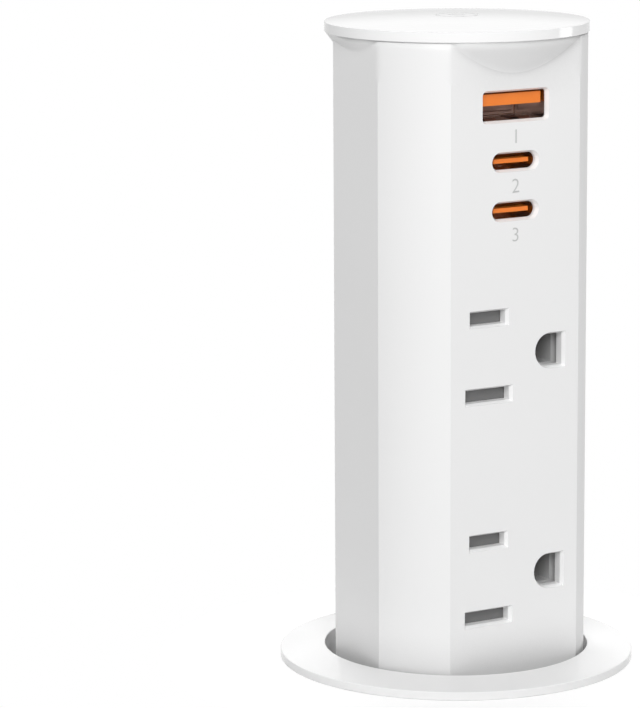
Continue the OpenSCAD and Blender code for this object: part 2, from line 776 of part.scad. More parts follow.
// Insulating block behind the outlets, with a passage for each blade and pin
module outlet_carrier() {
    color("dimgray") difference() {
        block([-carrier_hw, carrier_y, carrier_low], [carrier_hw, carrier_back, carrier_top]);
        for (z = outlets) {
            for (s = [-1, 1])
                block([-slot_off - passage_hw, carrier_y - 1, z + s * slot_gap / 2 - passage_hh],
                      [-slot_off + passage_hw, carrier_back + 1, z + s * slot_gap / 2 + passage_hh]);
            translate([ground_off, 0, z])
                slab_xz(carrier_y - 1, carrier_y + pin_deep - 0.5) ground_outline(ground_r);
            block([ground_off - pin_room, carrier_y + pin_deep - 1.5, z - pin_room],
                  [ground_off + pin_room, carrier_back + 1, z + pin_room]);
        }
        for (x = bus_xs) rod_y(x, terminal_z, 1.05, carrier_back - 6, carrier_back + 1);
    }
}

// A pair of bent leaves that grip a blade; g is half the free gap, deep is where the leaves start
module leaves(x, z, hw, g, deep) {
    y1 = carrier_back;
    y0 = carrier_y + deep;
    translate([0, 0, z]) for (s = [-1, 1]) slab_yz(x - hw, x + hw)
        polygon([for (p = [[y1 + e, g + 0.65], [y0 + 3.5, g], [y0, g + 0.55], [y0, g + 1.05],
                           [y0 + 3.5, g + 0.5], [y1 + e, g + 1.15]]) [p[0], s * p[1]]]);
}

// A bus strip on the back of the carrier with a terminal at its lower end; up is its top
module bus_strip(x, up) {
    difference() {
        block([x - bus_hw, carrier_back, carrier_low + 1], [x + bus_hw, carrier_back + bus_t, up]);
        rod_y(x, terminal_z, 1.05, carrier_back - 1, carrier_back + 2);
    }
}

// The leaves for one blade, and the pad that joins them to their strip
module blade_contact(x, z) {
    leaves(x, z, leaf_hw, leaf_gap, blade_deep);
    block([x - leaf_hw, carrier_back, z - blade_pad], [x + leaf_hw, carrier_back + bus_t, z + blade_pad]);
}

// Live strip with the contacts of both short slots
module hot_bus() {
    color("goldenrod") {
        bus_strip(bus_xs[0], outlets[1] + slot_gap / 2 + blade_pad);
        for (z = outlets) blade_contact(-slot_off - leaf_off, z + slot_gap / 2);
    }
}

// Neutral strip with the contacts of both long slots
module neutral_bus() {
    color("gainsboro") {
        bus_strip(bus_xs[1], outlets[1] - slot_gap / 2 + blade_pad);
        for (z = outlets) blade_contact(-slot_off + leaf_off, z - slot_gap / 2);
    }
}

// Ground strip with the contacts of both round pins
module ground_bus() {
    color("goldenrod") {
        bus_strip(bus_xs[2], outlets[1] + pin_pad);
        for (z = outlets) {
            leaves(ground_off, z, pin_leaf_hw, pin_gap, pin_deep);
            block([ground_off - pin_leaf_hw, carrier_back, z - pin_pad],
                  [ground_off + pin_leaf_hw, carrier_back + bus_t, z + pin_pad]);
        }
    }
}

// Three terminal screws for the cord's wires
module terminal_screws() {
    y = carrier_back + bus_t;
    color("silver") for (x = bus_xs) {
        rod_y(x, terminal_z, 2.3, y, y + 1.6);
        rod_y(x, terminal_z, 1, y - 5, y + 0.5);
    }
}

// Safety shutter that closes both blade slots of one outlet until it's lifted
module shutter(z) {
    color("dimgray") difference() {
        block([-slot_off - shutter_hw, shutter_y, z - shutter_down],
              [-slot_off + shutter_hw, shutter_y + shutter_t, z + shutter_up]);
        for (s = [-1, 1]) translate([-slot_off, 0, z + s * slot_gap / 2 - shutter_lift])
            block([-shutter_cut, shutter_y - 1, -cut_hh], [shutter_cut, shutter_y + shutter_t + 1, cut_hh]);
    }
}

module shutter_upper() shutter(outlets[1]);
module shutter_lower() shutter(outlets[0]);

// Small spring that pushes a shutter down
module shutter_spring(z) {
    color("silver") translate([-slot_off, shutter_y + shutter_t / 2, z + shutter_up])
        coil(6, 0.45, spring_room, 0.2, 0.62);
}

module shutter_spring_upper() shutter_spring(outlets[1]);
module shutter_spring_lower() shutter_spring(outlets[0]);

// Board of the charging ports, standing on four posts behind the front wall
module usb_board() {
    color("darkgreen") difference() {
        block([-board_hw, board_y, board_low], [board_hw, board_y + board_t, board_top]);
        for (s = [-1, 1], z = post_zs) rod_y(s * post_x, z, 1.1, board_y - 1, board_y + board_t + 1);
    }
}

// Four screws that hold the board
module board_screws() {
    y = board_y + board_t;
    color("silver") for (s = [-1, 1], z = post_zs) {
        rod_y(s * post_x, z, board_head_r, y, y + board_head_h);
        rod_y(s * post_x, z, 0.9, y - board_screw_len, y + 0.5);
    }
}

// Steel shell of the wide port
module usb_a_shell() {
    color("silver") translate([0, 0, port_a_z]) slab_xz(front_y + 1, board_y) difference() {
        square(a_shell, center = true);
        square([for (v = a_shell) v - 2 * a_sheet], center = true);
    }
}

// Orange insulator and contact tongue of the wide port
module usb_a_tongue() {
    color("darkorange") translate([0, 0, port_a_z]) {
        slab_xz(front_y + 10, board_y)
            square([for (v = a_shell) v - 2 * (a_sheet + base_fit)], center = true);
        block([-5.55, front_y + 1.3, 0.1], [5.55, front_y + 10.2, 1.95]);
    }
}

// Steel shells of the two small ports
module usb_c_shells() {
    color("silver") for (z = port_zs) translate([0, 0, z]) slab_xz(front_y + 1.3, board_y) difference() {
        pill(c_shell[0], c_shell[1]);
        pill(c_shell[0] - 2 * c_sheet, c_shell[1] - 2 * c_sheet);
    }
}

// Orange insulators and contact tongues of the two small ports
module usb_c_tongues() {
    color("darkorange") for (z = port_zs) translate([0, 0, z]) {
        slab_xz(front_y + 7.5, board_y)
            pill(c_shell[0] - 2 * (c_sheet + base_fit), c_shell[1] - 2 * (c_sheet + base_fit));
        block([-3.35, front_y + 1.5, -0.35], [3.35, front_y + 7.7, 0.35]);
    }
}

// Transformer of the charger, on the back of the board
module transformer() {
    y = board_y + board_t;
    z = (board_low + board_top) / 2;
    color("goldenrod") {
        block([-7.5, y, z - 8], [3.5, y + 1.2, z + 8]);
        block([-7.5, y, z - 8], [3.5, y + 9.6, z - 5.6]);
        block([-7.5, y, z + 5.6], [3.5, y + 9.6, z + 8]);
        block([-7.5, y + 8.2, z - 8], [3.5, y + 9.6, z + 8]);
        rod_y(-2, z, 5, y + 1, y + 8.4);
    }
}

// Two capacitors of the charger
module capacitors() {
    y = board_y + board_t;
    z = (board_low + board_top) / 2;
    color("darkslateblue") for (s = [-1, 1]) rod_y(8, z + s * 4.6, 4, y, y + 10.5);
}

flange_ring();
flange_gasket();
barrel();
bottom_cap();
rack();
lift_spring();
latch_case();
latch_pins();
latch_jaw_left();
latch_jaw_right();
clamp_washer();
lock_nut();
top_cap();
front_shell();
rear_cover();
foot();
foot_screws();
latch_striker();
cord_gland();
damper_body();
damper_screws();
damper_pinion();
outlet_carrier();
hot_bus();
neutral_bus();
ground_bus();
terminal_screws();
shutter_upper();
shutter_lower();
shutter_spring_upper();
shutter_spring_lower();
usb_board();
board_screws();
usb_a_shell();
usb_a_tongue();
usb_c_shells();
usb_c_tongues();
transformer();
capacitors();
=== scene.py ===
"""Pop-up desk socket: finishes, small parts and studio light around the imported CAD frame.

Blender works in metres in the CAD model's frame: the desk's upper face is z = 0 and the sockets
look along -Y. Sizes and places on the object are written in millimetres and turned with MM.
"""
import math

import bmesh
import bpy
from mathutils import Matrix, Vector


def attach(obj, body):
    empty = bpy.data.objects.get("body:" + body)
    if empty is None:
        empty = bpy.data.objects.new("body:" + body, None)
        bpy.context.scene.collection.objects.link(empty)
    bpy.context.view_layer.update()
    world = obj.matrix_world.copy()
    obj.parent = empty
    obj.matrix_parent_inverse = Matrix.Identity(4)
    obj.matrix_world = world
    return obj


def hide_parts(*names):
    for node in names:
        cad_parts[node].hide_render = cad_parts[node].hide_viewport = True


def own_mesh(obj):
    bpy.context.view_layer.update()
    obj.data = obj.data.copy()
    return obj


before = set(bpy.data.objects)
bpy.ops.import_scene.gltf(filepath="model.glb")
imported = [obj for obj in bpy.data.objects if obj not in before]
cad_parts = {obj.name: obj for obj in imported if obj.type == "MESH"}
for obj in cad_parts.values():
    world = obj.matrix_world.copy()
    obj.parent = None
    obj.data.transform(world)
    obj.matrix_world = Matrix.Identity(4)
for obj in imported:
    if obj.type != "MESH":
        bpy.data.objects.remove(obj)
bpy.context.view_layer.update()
MM = 0.001

# Axes, directions and sides
X, Y, Z = range(3)
UP = (0, 0, 1)
DOWN = (0, 0, -1)
LEFT = (-1, 0, 0)
REAR = (0, 1, 0)
BOTH = (-1, 1)

# Column: its front face, the openings in it and the cap
# What is within FACE_FIT of the front plane counts as on it
FRONT_Y = -17.55
WINDOWS_X = 11.5
BEVEL_DEEP = 0.76
RECESS_DEEP = 3.0
FACE_FIT = 0.03
EDGE_Z = 106.95
CAP_R = 21.75
CAP_DOME = 0.9

# Barrel and nut
BARREL_R = 24.1
THREAD_R = 24.6
THREAD_PITCH = 4.0
THREAD_TOP = -8.0
THREAD_LOW = -65.2
NUT_BORE = 24.75
NUT_TOP = -26.5
NUT_LOW = -37.5

# Springs and what they push
SPRING_FLOOR = -145.5
SPRING_TOP = -25.0
OUTLET_ZS = (17.05, 54.00)
SLOT_OFF = 4.95
SHUTTER_Y = -15.25
SHUTTER_T = 1.35
SHUTTER_UP = 8.6
SPRING_ROOM = 5.4

# Charging ports and their board
PORT_A_Z = 94.55
PORT_C_ZS = (85.55, 77.55)
NUMBER_ZS = (89.5, 81.5, 73.55)
BOARD_BACK = -0.55
BOARD_MID_Z = 85.775

# Screws
FOOT_SCREW_XYS = ((14.2, -9.2), (13, 9))
FOOT_SCREW_Z = -23.4
DAMPER_SCREW_XY = (8.0, 5.4)
DAMPER_SCREW_ZS = (-18, -12)
TERMINAL_XS = (-8.05, -1.85, 6.95)
TERMINAL_YZ = (4.75, -5.0)
BOARD_SCREW_XS = (-9.6, 9.6)
BOARD_SCREW_ZS = (73.8, 97.75)

# Stage
DESK_R = 50.0
DESK_HOLE_R = 25.0
DESK_Z = -0.02


# Camera of the photograph: 640 x 708, long side on a 36 mm sensor

def photo_camera():
    """A long lens that stands in front of the column to its left, with its place in metres."""
    data = bpy.data.cameras.new("photo_camera")
    data.lens = 185.55
    data.sensor_width = 36.0
    data.clip_start = 0.01
    data.clip_end = 20.0
    camera = bpy.data.objects.new("photo_camera", data)
    bpy.context.scene.collection.objects.link(camera)
    right = Vector((0.85905754, -0.51185329, -0.00513379))
    up = Vector((0.09781978, 0.15431265, 0.98316779))
    back = -Vector((0.50244546, 0.84509989, -0.18263282))
    turn = Matrix((right, up, back)).transposed().to_4x4()
    place = Matrix.Translation((-0.32475, -0.50184, 0.16240))
    camera.matrix_world = place @ turn
    bpy.context.scene.camera = camera


photo_camera()


# Small helpers for materials

def linear(code):
    """An sRGB hex colour as linear RGBA."""
    parts = [int(code[i:i + 2], 16) / 255 for i in (1, 3, 5)]
    return tuple(c / 12.92 if c <= 0.04045 else ((c + 0.055) / 1.055) ** 2.4
                 for c in parts) + (1.0,)


def add(tree, kind, inputs=None, **settings):
    """Adds a node with its settings; an input is a value or another node's output."""
    node = tree.nodes.new(kind)
    for name, value in settings.items():
        setattr(node, name, value)
    for name, value in (inputs or {}).items():
        if isinstance(value, bpy.types.NodeSocket):
            tree.links.new(value, node.inputs[name])
        else:
            node.inputs[name].default_value = value
    return node


def per_mm(size):
    """The texture scale at which a pattern's features are this many millimetres."""
    return 1.0 / (size * MM)


def new_material(name):
    """A material without nodes, its node tree and the Object coordinates in it."""
    material = bpy.data.materials.new(name)
    material.use_nodes = True
    tree = material.node_tree
    tree.nodes.clear()
    place = add(tree, "ShaderNodeTexCoord").outputs["Object"]
    return material, tree, place


def finish_material(tree, shader):
    add(tree, "ShaderNodeOutputMaterial", {"Surface": shader.outputs["BSDF"]})


# Plastics and metals: how far the roughness swings either way, and a streak's width to its length

PLASTIC_SWING = 0.03
METAL_SWING = 0.07
STREAK_STRETCH = 0.06


def plastic_skin(tree, place, light, dark, rough, cloud_mm, grain_mm, grain_um):
    """Two close shades in slow clouds, and a grain of a given size and depth.

    Gives the colour, the roughness and the bump node.
    """
    cloud = add(tree, "ShaderNodeTexNoise", {
        "Vector": place, "Scale": per_mm(cloud_mm), "Detail": 3.0})
    colour = add(tree, "ShaderNodeMix", {
        "Factor": cloud.outputs["Fac"], "A": linear(light), "B": linear(dark)}, data_type="RGBA")
    grain = add(tree, "ShaderNodeTexNoise", {
        "Vector": place, "Scale": per_mm(grain_mm), "Detail": 2.0})
    spread = add(tree, "ShaderNodeMapRange", {
        "Value": grain.outputs["Fac"],
        "To Min": rough - PLASTIC_SWING, "To Max": rough + PLASTIC_SWING})
    bump = add(tree, "ShaderNodeBump", {
        "Height": grain.outputs["Fac"], "Strength": 0.6, "Distance": grain_um * MM * MM})
    return colour.outputs["Result"], spread.outputs["Result"], bump


def moulded_plastic(name, light, dark, rough, ior, cloud_mm, grain_mm, grain_um):
    """Injection-moulded plastic with a plain skin."""
    material, tree, place = new_material(name)
    colour, spread, bump = plastic_skin(tree, place, light, dark, rough, cloud_mm, grain_mm,
                                        grain_um)
    shader = add(tree, "ShaderNodeBsdfPrincipled", {
        "Base Color": colour, "Roughness": spread, "IOR": ior, "Normal": bump.outputs["Normal"]})
    finish_material(tree, shader)
    return material


def opening_masks(tree, x, y):
    """1 inside the openings of the front wall, and 1 on the bevels round them."""
    across = add(tree, "ShaderNodeMath", {0: x}, operation="ABSOLUTE")
    inside = add(tree, "ShaderNodeMath", {0: across.outputs[0], 1: WINDOWS_X * MM},
                 operation="LESS_THAN")
    behind = add(tree, "ShaderNodeMath", {0: y, 1: (FRONT_Y + FACE_FIT) * MM},
                 operation="GREATER_THAN")
    near = add(tree, "ShaderNodeMath", {0: y, 1: (FRONT_Y + RECESS_DEEP) * MM},
               operation="LESS_THAN")
    shallow = add(tree, "ShaderNodeMath", {0: y, 1: (FRONT_Y + BEVEL_DEEP) * MM},
                  operation="LESS_THAN")
    window = add(tree, "ShaderNodeMath", {0: inside.outputs[0], 1: behind.outputs[0]},
                 operation="MULTIPLY")
    recess = add(tree, "ShaderNodeMath", {0: window.outputs[0], 1: near.outputs[0]},
                 operation="MULTIPLY")
    bevel = add(tree, "ShaderNodeMath", {0: recess.outputs[0], 1: shallow.outputs[0]},
                operation="MULTIPLY")
    return recess.outputs[0], bevel.outputs[0]


def corner_shade(tree, x, y, z, recess):
    """Soft shade where walls meet, as a share of the colour that is left.

    It is deep round the foot of the column, lighter at the top, and fades to the right. The
    openings stay clear of it. Under the flare it lies on the front face and fades to the left.
    """
    deep, light, none = 0.70, 0.86, 1.0
    cap_deep, cap_light = 0.83, 0.95
    reach = 9 * MM
    right_start, right_end = 12 * MM, 19 * MM
    left_end, left_start = -18 * MM, -12 * MM
    foot_end, top_start = 50 * MM, 90 * MM
    corner_shut, corner_open = 0.45, 0.95
    cap_low, cap_high = 60 * MM, 80 * MM
    cap_left, cap_right = -12 * MM, -4 * MM
    flare_shut, flare_open = 0.91, 1.0
    corner = add(tree, "ShaderNodeAmbientOcclusion", {"Distance": reach}, samples=12)
    aside = add(tree, "ShaderNodeMapRange", {
        "Value": x, "From Min": right_start, "From Max": right_end,
        "To Min": deep, "To Max": none})
    left = add(tree, "ShaderNodeMapRange", {
        "Value": x, "From Min": left_end, "From Max": left_start,
        "To Min": none, "To Max": light})
    above = add(tree, "ShaderNodeMapRange", {
        "Value": z, "From Min": foot_end, "From Max": top_start,
        "To Min": deep, "To Max": left.outputs["Result"]})
    depth = add(tree, "ShaderNodeMath", {0: aside.outputs["Result"], 1: above.outputs["Result"]},
                operation="MAXIMUM")
    shade = add(tree, "ShaderNodeMapRange", {
        "Value": corner.outputs["AO"], "From Min": corner_shut, "From Max": corner_open,
        "To Min": depth.outputs[0], "To Max": none})
    open_shade = add(tree, "ShaderNodeMath", {0: shade.outputs["Result"], 1: recess},
                     operation="MAXIMUM")
    face = add(tree, "ShaderNodeMath", {0: y, 1: FRONT_Y * MM, 2: FACE_FIT * MM},
               operation="COMPARE")
    high = add(tree, "ShaderNodeMapRange", {
        "Value": z, "From Min": cap_low, "From Max": cap_high,
        "To Min": 0.0, "To Max": face.outputs[0]})
    beside = add(tree, "ShaderNodeMapRange", {
        "Value": x, "From Min": cap_left, "From Max": cap_right,
        "To Min": cap_light, "To Max": cap_deep})
    overhang = add(tree, "ShaderNodeMapRange", {
        "Value": corner.outputs["AO"], "From Min": flare_shut, "From Max": flare_open,
        "To Min": beside.outputs["Result"], "To Max": none})
    under_cap = add(tree, "ShaderNodeMapRange", {
        "Value": high.outputs["Result"], "To Min": none, "To Max": overhang.outputs["Result"]})
    both = add(tree, "ShaderNodeMath", {0: open_shade.outputs[0], 1: under_cap.outputs["Result"]},
               operation="MINIMUM")
    return both.outputs[0]


def soft_root(tree, y, z):
    """A normal that rounds the root of the flare at the front. All other edges stay crisp."""
    root_r, edge_r = 2.2 * MM, 0.06 * MM
    front_end, rear_start = -1 * MM, 3 * MM
    wall_end, root_start = 98.2 * MM, 99.4 * MM
    front = add(tree, "ShaderNodeMapRange", {
        "Value": y, "From Min": front_end, "From Max": rear_start,
        "To Min": root_r, "To Max": edge_r})
    edge = add(tree, "ShaderNodeMapRange", {
        "Value": z, "From Min": wall_end, "From Max": root_start,
        "To Min": edge_r, "To Max": front.outputs["Result"]})
    rounded = add(tree, "ShaderNodeBevel", {"Radius": edge.outputs["Result"]}, samples=8)
    return rounded.outputs["Normal"]


def column_plastic(name, light, dark, rough, ior, cloud_mm, grain_mm, grain_um, bevel_highlight_colour,
                   bevel_rough):
    """Plastic of the column: bevels round the openings polished and painted lighter as a
    highlight, and painted shade in the corners.
    """
    material, tree, place = new_material(name)
    colour, spread, bump = plastic_skin(tree, place, light, dark, rough, cloud_mm, grain_mm,
                                        grain_um)
    spot = add(tree, "ShaderNodeSeparateXYZ", {"Vector": place})
    x, y, z = (spot.outputs[axis] for axis in "XYZ")
    recess, bevel = opening_masks(tree, x, y)
    shaded = add(tree, "ShaderNodeMix", {
        "Factor": corner_shade(tree, x, y, z, recess), "A": (0, 0, 0, 1), "B": colour},
        data_type="RGBA")
    # The bevels round the openings take a lighter colour as a painted highlight
    skin = add(tree, "ShaderNodeMix", {
        "Factor": bevel, "A": shaded.outputs["Result"], "B": linear(bevel_highlight_colour)},
        data_type="RGBA")
    gloss = add(tree, "ShaderNodeMapRange", {
        "Value": bevel, "To Min": spread, "To Max": bevel_rough})
    tree.links.new(soft_root(tree, y, z), bump.inputs["Normal"])
    shader = add(tree, "ShaderNodeBsdfPrincipled", {
        "Base Color": skin.outputs["Result"], "Roughness": gloss.outputs["Result"], "IOR": ior,
        "Normal": bump.outputs["Normal"]})
    finish_material(tree, shader)
    return material


def metal(name, light, dark, rough, streak_mm, along, depth_um):
    """Drawn or rolled metal: fine streaks along one axis vary the shade, gloss and relief."""
    material, tree, place = new_material(name)
    stretch = [1.0, 1.0, 1.0]
    stretch[along] = STREAK_STRETCH
    turned = add(tree, "ShaderNodeMapping", {"Vector": place, "Scale": stretch})
    streak = add(tree, "ShaderNodeTexNoise", {
        "Vector": turned.outputs["Vector"], "Scale": per_mm(streak_mm), "Detail": 4.0})
    colour = add(tree, "ShaderNodeMix", {
        "Factor": streak.outputs["Fac"], "A": linear(light), "B": linear(dark)}, data_type="RGBA")
    spread = add(tree, "ShaderNodeMapRange", {
        "Value": streak.outputs["Fac"],
        "To Min": rough - METAL_SWING, "To Max": rough + METAL_SWING})
    bump = add(tree, "ShaderNodeBump", {
        "Height": streak.outputs["Fac"], "Strength": 0.5, "Distance": depth_um * MM * MM})
    shader = add(tree, "ShaderNodeBsdfPrincipled", {
        "Base Color": colour.outputs["Result"], "Metallic": 1.0,
        "Roughness": spread.outputs["Result"], "Normal": bump.outputs["Normal"]})
    finish_material(tree, shader)
    return material


# The grains and streaks of 0.1 to 0.4 mm are coarser than the real ones, so that they show

# Polished ABS: a clear mirror-like gloss with a faint orange peel, white
GLOSS = moulded_plastic("polished_abs_white", "#F8F8F8", "#F5F5F5", rough=0.09, ior=1.53,
                        cloud_mm=40, grain_mm=3.0, grain_um=6)
# Spark-eroded PC/ABS: a satin white with a fine even grain
# Its edges are crisp, apart from the soft root of the flare under the cap
# The bevels round its openings take a lighter colour as a painted highlight; its corners and the
# face under the flare take painted shade
SATIN = column_plastic("spark_eroded_pc_abs_white", "#F0F0F0", "#ECECEC", rough=0.40, ior=1.57,
                       cloud_mm=30, grain_mm=0.3, grain_um=9, bevel_highlight_colour="#FAFAFA",
                       bevel_rough=0.2)
# Glass-filled nylon: a duller natural white with cloudy flow marks
NYLON = moulded_plastic("glass_filled_nylon_white", "#E9E9E6", "#DEDEDA", rough=0.50, ior=1.53,
                        cloud_mm=9, grain_mm=0.4, grain_um=14)
# Grey polypropylene: matt mid grey, seen flat through the slots
GREY = moulded_plastic("moulded_polypropylene_grey", "#757575", "#6D6D6D", rough=0.55, ior=1.49,
                       cloud_mm=6, grain_mm=0.3, grain_um=8)
# Pale grey PBT: the insulating block that the ground holes look into
PALE = moulded_plastic("glass_filled_pbt_pale_grey", "#BCBCBC", "#B2B2B2", rough=0.5, ior=1.55,
                       cloud_mm=6, grain_mm=0.3, grain_um=10)
# Black glass-filled PBT: dark with a dry sheen
DARK = moulded_plastic("glass_filled_pbt_black", "#2E2E30", "#252527", rough=0.48, ior=1.55,
                       cloud_mm=7, grain_mm=0.3, grain_um=12)
# Orange LCP: the bright opaque insulator of a fast charging port
ORANGE = moulded_plastic("moulded_lcp_orange", "#F2821C", "#E4740E", rough=0.34, ior=1.6,
                         cloud_mm=3, grain_mm=0.15, grain_um=5)
# Natural acetal: waxy off-white
ACETAL = moulded_plastic("natural_acetal", "#ECEBE4", "#E4E3DB", rough=0.32, ior=1.48,
                         cloud_mm=6, grain_mm=0.4, grain_um=6)
# EPDM rubber: soft dark grey, almost without gloss
RUBBER = moulded_plastic("epdm_rubber_grey", "#4A4A4A", "#404040", rough=0.72, ior=1.5,
                         cloud_mm=4, grain_mm=0.25, grain_um=18)
# Ink pad-printed on the shells: pale grey, flat
INK = moulded_plastic("pad_printed_ink_grey", "#C4C4C4", "#BCBCBC", rough=0.45, ior=1.5,
                      cloud_mm=2, grain_mm=0.1, grain_um=2)
# Polyester tape round the windings: glossy amber yellow
TAPE = moulded_plastic("polyester_tape_amber", "#D9A63A", "#CC9526", rough=0.25, ior=1.6,
                       cloud_mm=3, grain_mm=1.2, grain_um=12)
# Shrink sleeve of a capacitor: slate blue vinyl
SLEEVE = moulded_plastic("vinyl_sleeve_slate", "#3C3F66", "#34375A", rough=0.3, ior=1.53,
                         cloud_mm=5, grain_mm=0.8, grain_um=6)
# Solder mask over copper: green with lighter tracks
MASK = moulded_plastic("solder_mask_green", "#1F5A38", "#2B7048", rough=0.28, ior=1.55,
                       cloud_mm=2.2, grain_mm=0.4, grain_um=8)
# Drawn spring wire: bright grey with dark die lines
SPRING_WIRE = metal("drawn_spring_steel", "#C9CACC", "#9EA0A3", rough=0.3, streak_mm=0.25,
                    along=Z, depth_um=6)
# Zinc-plated steel: pale with a slight blue cast
ZINC = metal("zinc_plated_steel", "#CDD0D4", "#A9ADB3", rough=0.33, streak_mm=0.3, along=X,
             depth_um=5)
# Nickel-plated steel of the port shells: smooth enough to mirror the orange insulators
NICKEL = metal("nickel_plated_steel", "#DEDEDE", "#C8C8C9", rough=0.2, streak_mm=0.2, along=Y,
               depth_um=4)
# Stamped bronze strip inside the wide port: a dull grey brown, partly the bronze's own tone and
# partly a painted reflection of the orange insulator
STRIP = metal("phosphor_bronze_painted_reflection", "#A8897E", "#897066", rough=0.48, streak_mm=0.2,
              along=Y, depth_um=6)
# Rolled brass of the contact leaves: yellow, with a soft sheen
BRASS = metal("rolled_brass", "#D6B25E", "#B9924A", rough=0.3, streak_mm=0.25, along=Z,
              depth_um=5)
# Tin-plated brass: silvery with a warm trace
TINNED = metal("tin_plated_brass", "#CFCBC0", "#B2ADA0", rough=0.35, streak_mm=0.25, along=Z,
               depth_um=5)
# Enamelled copper wire: deep orange brown under a clear coat
COPPER = metal("enamelled_copper_wire", "#C0703F", "#94502B", rough=0.26, streak_mm=0.3, along=Y,
               depth_um=3)
# Hard gold on the ports' contact pads: warm and smooth
GOLD = metal("gold_flashed_contact", "#E3BE6A", "#C9A04C", rough=0.24, streak_mm=0.15, along=Y,
             depth_um=2)

FINISHES = {
    GLOSS: ("flange_ring", "top_cap"),
    SATIN: ("barrel", "front_shell", "rear_cover"),
    NYLON: ("bottom_cap", "clamp_washer", "lock_nut", "foot"),
    GREY: ("shutter_upper", "shutter_lower"),
    PALE: ("outlet_carrier",),
    DARK: ("rack", "latch_case", "damper_body"),
    ORANGE: ("latch_jaw_left", "latch_jaw_right", "latch_striker", "usb_a_tongue",
             "usb_c_tongues"),
    ACETAL: ("damper_pinion",),
    RUBBER: ("flange_gasket", "cord_gland"),
    SPRING_WIRE: ("lift_spring", "shutter_spring_upper", "shutter_spring_lower"),
    ZINC: ("latch_pins", "foot_screws", "damper_screws", "terminal_screws", "board_screws"),
    NICKEL: ("usb_a_shell", "usb_c_shells"),
    BRASS: ("hot_bus", "ground_bus"),
    TINNED: ("neutral_bus",),
    MASK: ("usb_board",),
    TAPE: ("transformer",),
    SLEEVE: ("capacitors",),
}
for material, names in FINISHES.items():
    for name in names:
        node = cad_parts[name]
        node.data.materials.clear()
        node.data.materials.append(material)


# Small helpers for modelling
# A face whose normal has more than FACING of its length along a direction faces that way

FACING = 0.9


def fresh():
    """Turns object mode on and deselects all, so that the next operator acts on its own piece."""
    if bpy.context.object and bpy.context.object.mode != "OBJECT":
        bpy.ops.object.mode_set(mode="OBJECT")
    bpy.ops.object.select_all(action="DESELECT")


def take(piece):
    """Selects one piece alone and makes it the active one."""
    fresh()
    bpy.context.view_layer.objects.active = piece
    piece.select_set(True)


def edit(piece):
    take(piece)
    bpy.ops.object.mode_set(mode="EDIT")


def sized(scale=(1, 1, 1)):
    """The primitive that was just added, with its size, turn and place applied to its mesh."""
    piece = bpy.context.object
    piece.scale = scale
    bpy.ops.object.transform_apply(location=True, rotation=True, scale=True)
    return piece


def box(width, length, height, middle_z=0):
    fresh()
    bpy.ops.mesh.primitive_cube_add(size=MM, location=(0, 0, middle_z * MM))
    return sized((width, length, height))


def choose(kind, test):
    """Selects in edit mode the vertices, edges or faces that pass the test.

    The test takes a vertex's place, an edge, or a face's middle and normal.
    """
    bpy.ops.mesh.select_mode(type=kind)
    bpy.ops.mesh.select_all(action="DESELECT")
    mesh = bmesh.from_edit_mesh(bpy.context.object.data)
    parts = {"VERT": mesh.verts, "EDGE": mesh.edges, "FACE": mesh.faces}[kind]
    for part in parts:
        if kind == "VERT":
            hit = test(part.co)
        elif kind == "EDGE":
            hit = test(part)
        else:
            hit = test(part.calc_center_median(), part.normal)
        part.select_set(bool(hit))
    mesh.select_flush_mode()
    bmesh.update_edit_mesh(bpy.context.object.data)


def extrude(x, y, z):
    """Draws what is selected out by a step in millimetres."""
    step = (x * MM, y * MM, z * MM)
    bpy.ops.mesh.extrude_region_move(TRANSFORM_OT_translate={"value": step})


def apply_all(piece):
    take(piece)
    for modifier in list(piece.modifiers):
        bpy.ops.object.modifier_apply(modifier=modifier.name)


def carve(piece, cutter):
    """Cuts the cutter out of a piece and removes the cutter."""
    cut = piece.modifiers.new("cut", "BOOLEAN")
    cut.object = cutter
    cut.operation = "DIFFERENCE"
    apply_all(piece)
    bpy.data.objects.remove(cutter)


def join(pieces):
    """Joins pieces to the first of them."""
    fresh()
    for piece in pieces:
        piece.select_set(True)
    bpy.context.view_layer.objects.active = pieces[0]
    bpy.ops.object.join()


def close_and_smooth(piece, angle):
    """Closes open ends, turns the faces outwards and smooths all edges flatter than the angle."""
    edit(piece)
    bpy.ops.mesh.select_all(action="SELECT")
    bpy.ops.mesh.remove_doubles(threshold=1e-7)
    bpy.ops.mesh.fill_holes(sides=0)
    bpy.ops.mesh.select_all(action="SELECT")
    bpy.ops.mesh.normals_make_consistent(inside=False)
    take(piece)
    bpy.ops.object.shade_smooth_by_angle(angle=math.radians(angle))


def screw_up(piece, turns, pitch, steps):
    """Sweeps a profile up a right-hand helix about the axis, with open ends."""
    screw = piece.modifiers.new("sweep", "SCREW")
    screw.axis = "Z"
    screw.angle = 2 * math.pi * turns
    screw.screw_offset = pitch * MM * turns
    screw.steps = screw.render_steps = round(steps * turns)
    screw.use_smooth_shade = False
    screw.use_merge_vertices = False
    apply_all(piece)


def wire_helix(wire_r, radius, turns, pitch, steps, sides):
    """Round wire on a right-hand helix about the axis, with open ends."""
    fresh()
    bpy.ops.mesh.primitive_circle_add(vertices=sides, radius=wire_r * MM, fill_type="NOTHING",
                                      location=(radius * MM, 0, 0), rotation=(math.pi / 2, 0, 0))
    wire = sized()
    screw_up(wire, turns, pitch, steps)
    return wire


def settle(piece, name, material, body):
    """Applies the piece's place to its mesh, names and finishes it, and lets it ride on a body."""
    take(piece)
    bpy.ops.object.transform_apply(location=True, rotation=True, scale=True)
    piece.name = name
    piece.data.name = name
    piece.data.materials.clear()
    piece.data.materials.append(material)
    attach(piece, body)
    return piece


